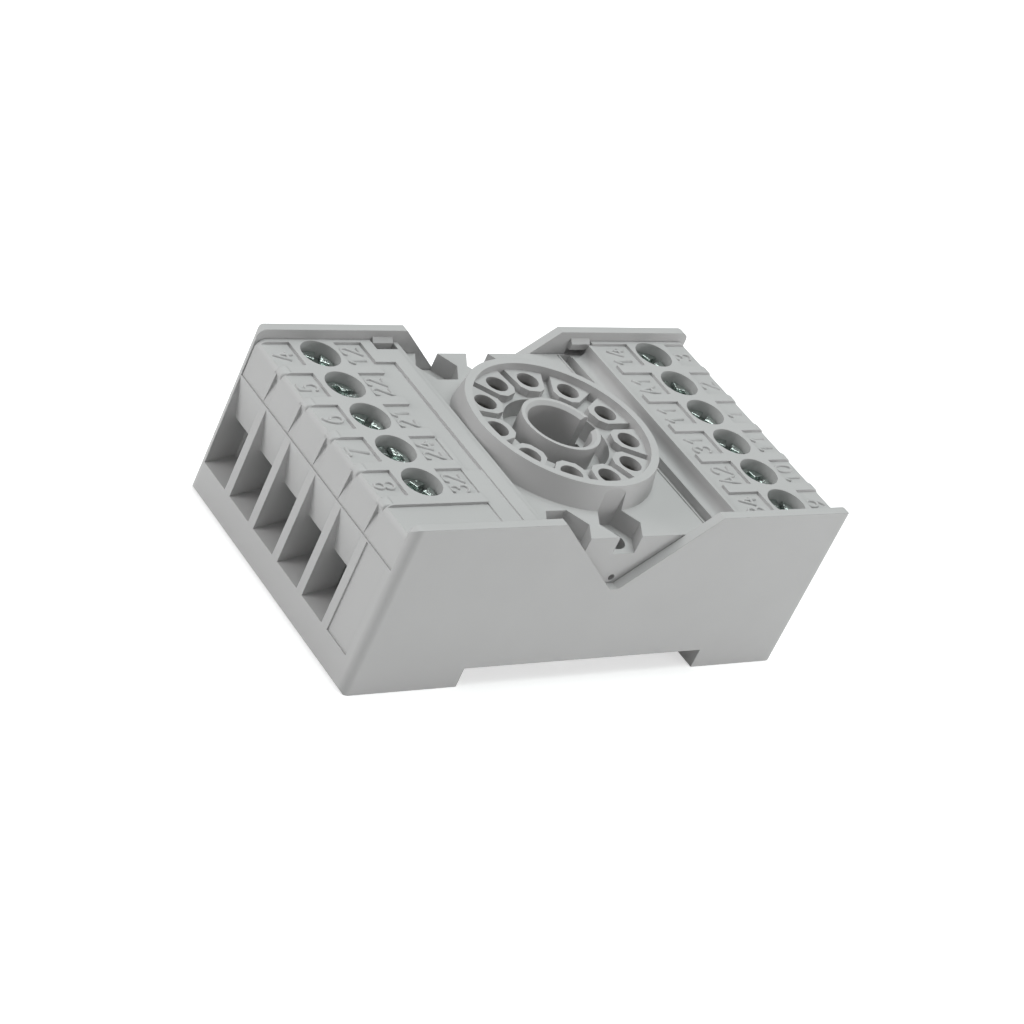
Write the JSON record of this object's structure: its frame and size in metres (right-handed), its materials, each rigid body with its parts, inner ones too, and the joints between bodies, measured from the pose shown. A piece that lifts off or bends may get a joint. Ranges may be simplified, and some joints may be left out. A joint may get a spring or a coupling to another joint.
{
  "type": "relay socket",
  "caption": "Plug-in relay socket with a round keyed pin field, screw clamp terminals on both ends, V notched side walls and a foot for a 35 mm rail or panel screws.",
  "frame": {"origin": "on the plane of the feet, under the middle of the pin circle", "axes": "+Z away from the rail, +X towards the block with six terminals, +Y towards the side wall beside terminals 3 and 4"},
  "size_m": [0.0676, 0.0384, 0.0239],
  "materials": {
    "housing_grey": "moulded, fine matt",
    "latch_grey": "moulded, fine matt",
    "screw_zinc": "bright zinc plate",
    "cage_steel": "zinc plate, folded",
    "contact_brass": "stamped"
  },
  "bodies": {
    "housing": {"base_housing": "housing_grey", "upper_housing": "housing_grey", "terminal_bar_4": "contact_brass", "pin_clip_4": "contact_brass", "terminal_bar_5": "contact_brass", "pin_clip_5": "contact_brass", "terminal_bar_6": "contact_brass", "pin_clip_6": "contact_brass", "terminal_bar_7": "contact_brass", "pin_clip_7": "contact_brass", "terminal_bar_8": "contact_brass", "pin_clip_8": "contact_brass", "terminal_bar_3": "contact_brass", "pin_clip_3": "contact_brass", "terminal_bar_2": "contact_brass", "pin_clip_2": "contact_brass", "terminal_bar_1": "contact_brass", "pin_clip_1": "contact_brass", "terminal_bar_11": "contact_brass", "pin_clip_11": "contact_brass", "terminal_bar_10": "contact_brass", "pin_clip_10": "contact_brass", "terminal_bar_9": "contact_brass", "pin_clip_9": "contact_brass"},
    "rail_latch": {"rail_latch": "latch_grey"},
    "screw_4": {"terminal_screw_4": "screw_zinc"},
    "cage_4": {"clamp_cage_4": "cage_steel"},
    "screw_5": {"terminal_screw_5": "screw_zinc"},
    "cage_5": {"clamp_cage_5": "cage_steel"},
    "screw_6": {"terminal_screw_6": "screw_zinc"},
    "cage_6": {"clamp_cage_6": "cage_steel"},
    "screw_7": {"terminal_screw_7": "screw_zinc"},
    "cage_7": {"clamp_cage_7": "cage_steel"},
    "screw_8": {"terminal_screw_8": "screw_zinc"},
    "cage_8": {"clamp_cage_8": "cage_steel"},
    "screw_3": {"terminal_screw_3": "screw_zinc"},
    "cage_3": {"clamp_cage_3": "cage_steel"},
    "screw_2": {"terminal_screw_2": "screw_zinc"},
    "cage_2": {"clamp_cage_2": "cage_steel"},
    "screw_1": {"terminal_screw_1": "screw_zinc"},
    "cage_1": {"clamp_cage_1": "cage_steel"},
    "screw_11": {"terminal_screw_11": "screw_zinc"},
    "cage_11": {"clamp_cage_11": "cage_steel"},
    "screw_10": {"terminal_screw_10": "screw_zinc"},
    "cage_10": {"clamp_cage_10": "cage_steel"},
    "screw_9": {"terminal_screw_9": "screw_zinc"},
    "cage_9": {"clamp_cage_9": "cage_steel"}
  },
  "joints": [
    {"name": "latch_slide", "type": "slide", "parent": "housing", "child": "rail_latch", "axis": [1, 0, 0], "range_m": [0, 0.002], "stiffness_N_per_m": 1500},
    {"name": "screw_turn_4", "type": "hinge", "parent": "housing", "child": "screw_4", "pos_m": [-0.0262, 0.01512, 0.0197], "axis": [0, 0, -1], "range_deg": [0, 3024]},
    {"name": "cage_lift_4", "type": "slide", "parent": "housing", "child": "cage_4", "axis": [0, 0, 1], "range_m": [0, 0.0042]},
    {"name": "screw_turn_5", "type": "hinge", "parent": "housing", "child": "screw_5", "pos_m": [-0.0262, 0.00907, 0.0197], "axis": [0, 0, -1], "range_deg": [0, 3024]},
    {"name": "cage_lift_5", "type": "slide", "parent": "housing", "child": "cage_5", "axis": [0, 0, 1], "range_m": [0, 0.0042]},
    {"name": "screw_turn_6", "type": "hinge", "parent": "housing", "child": "screw_6", "pos_m": [-0.0262, 0.00302, 0.0197], "axis": [0, 0, -1], "range_deg": [0, 3024]},
    {"name": "cage_lift_6", "type": "slide", "parent": "housing", "child": "cage_6", "axis": [0, 0, 1], "range_m": [0, 0.0042]},
    {"name": "screw_turn_7", "type": "hinge", "parent": "housing", "child": "screw_7", "pos_m": [-0.0262, -0.00302, 0.0197], "axis": [0, 0, -1], "range_deg": [0, 3024]},
    {"name": "cage_lift_7", "type": "slide", "parent": "housing", "child": "cage_7", "axis": [0, 0, 1], "range_m": [0, 0.0042]},
    {"name": "screw_turn_8", "type": "hinge", "parent": "housing", "child": "screw_8", "pos_m": [-0.0262, -0.00907, 0.0197], "axis": [0, 0, -1], "range_deg": [0, 3024]},
    {"name": "cage_lift_8", "type": "slide", "parent": "housing", "child": "cage_8", "axis": [0, 0, 1], "range_m": [0, 0.0042]},
    {"name": "screw_turn_3", "type": "hinge", "parent": "housing", "child": "screw_3", "pos_m": [0.0262, 0.01512, 0.0197], "axis": [0, 0, -1], "range_deg": [0, 3024]},
    {"name": "cage_lift_3", "type": "slide", "parent": "housing", "child": "cage_3", "axis": [0, 0, 1], "range_m": [0, 0.0042]},
    {"name": "screw_turn_2", "type": "hinge", "parent": "housing", "child": "screw_2", "pos_m": [0.0262, 0.00907, 0.0197], "axis": [0, 0, -1], "range_deg": [0, 3024]},
    {"name": "cage_lift_2", "type": "slide", "parent": "housing", "child": "cage_2", "axis": [0, 0, 1], "range_m": [0, 0.0042]},
    {"name": "screw_turn_1", "type": "hinge", "parent": "housing", "child": "screw_1", "pos_m": [0.0262, 0.00302, 0.0197], "axis": [0, 0, -1], "range_deg": [0, 3024]},
    {"name": "cage_lift_1", "type": "slide", "parent": "housing", "child": "cage_1", "axis": [0, 0, 1], "range_m": [0, 0.0042]},
    {"name": "screw_turn_11", "type": "hinge", "parent": "housing", "child": "screw_11", "pos_m": [0.0262, -0.00302, 0.0197], "axis": [0, 0, -1], "range_deg": [0, 3024]},
    {"name": "cage_lift_11", "type": "slide", "parent": "housing", "child": "cage_11", "axis": [0, 0, 1], "range_m": [0, 0.0042]},
    {"name": "screw_turn_10", "type": "hinge", "parent": "housing", "child": "screw_10", "pos_m": [0.0262, -0.00907, 0.0197], "axis": [0, 0, -1], "range_deg": [0, 3024]},
    {"name": "cage_lift_10", "type": "slide", "parent": "housing", "child": "cage_10", "axis": [0, 0, 1], "range_m": [0, 0.0042]},
    {"name": "screw_turn_9", "type": "hinge", "parent": "housing", "child": "screw_9", "pos_m": [0.0262, -0.01512, 0.0197], "axis": [0, 0, -1], "range_deg": [0, 3024]},
    {"name": "cage_lift_9", "type": "slide", "parent": "housing", "child": "cage_9", "axis": [0, 0, 1], "range_m": [0, 0.0042]}
  ],
  "couplings": [
    {"joint": "screw_turn_4", "follows": "cage_lift_4", "rad_per_m": 12566},
    {"joint": "screw_turn_5", "follows": "cage_lift_5", "rad_per_m": 12566},
    {"joint": "screw_turn_6", "follows": "cage_lift_6", "rad_per_m": 12566},
    {"joint": "screw_turn_7", "follows": "cage_lift_7", "rad_per_m": 12566},
    {"joint": "screw_turn_8", "follows": "cage_lift_8", "rad_per_m": 12566},
    {"joint": "screw_turn_3", "follows": "cage_lift_3", "rad_per_m": 12566},
    {"joint": "screw_turn_2", "follows": "cage_lift_2", "rad_per_m": 12566},
    {"joint": "screw_turn_1", "follows": "cage_lift_1", "rad_per_m": 12566},
    {"joint": "screw_turn_11", "follows": "cage_lift_11", "rad_per_m": 12566},
    {"joint": "screw_turn_10", "follows": "cage_lift_10", "rad_per_m": 12566},
    {"joint": "screw_turn_9", "follows": "cage_lift_9", "rad_per_m": 12566}
  ]
}
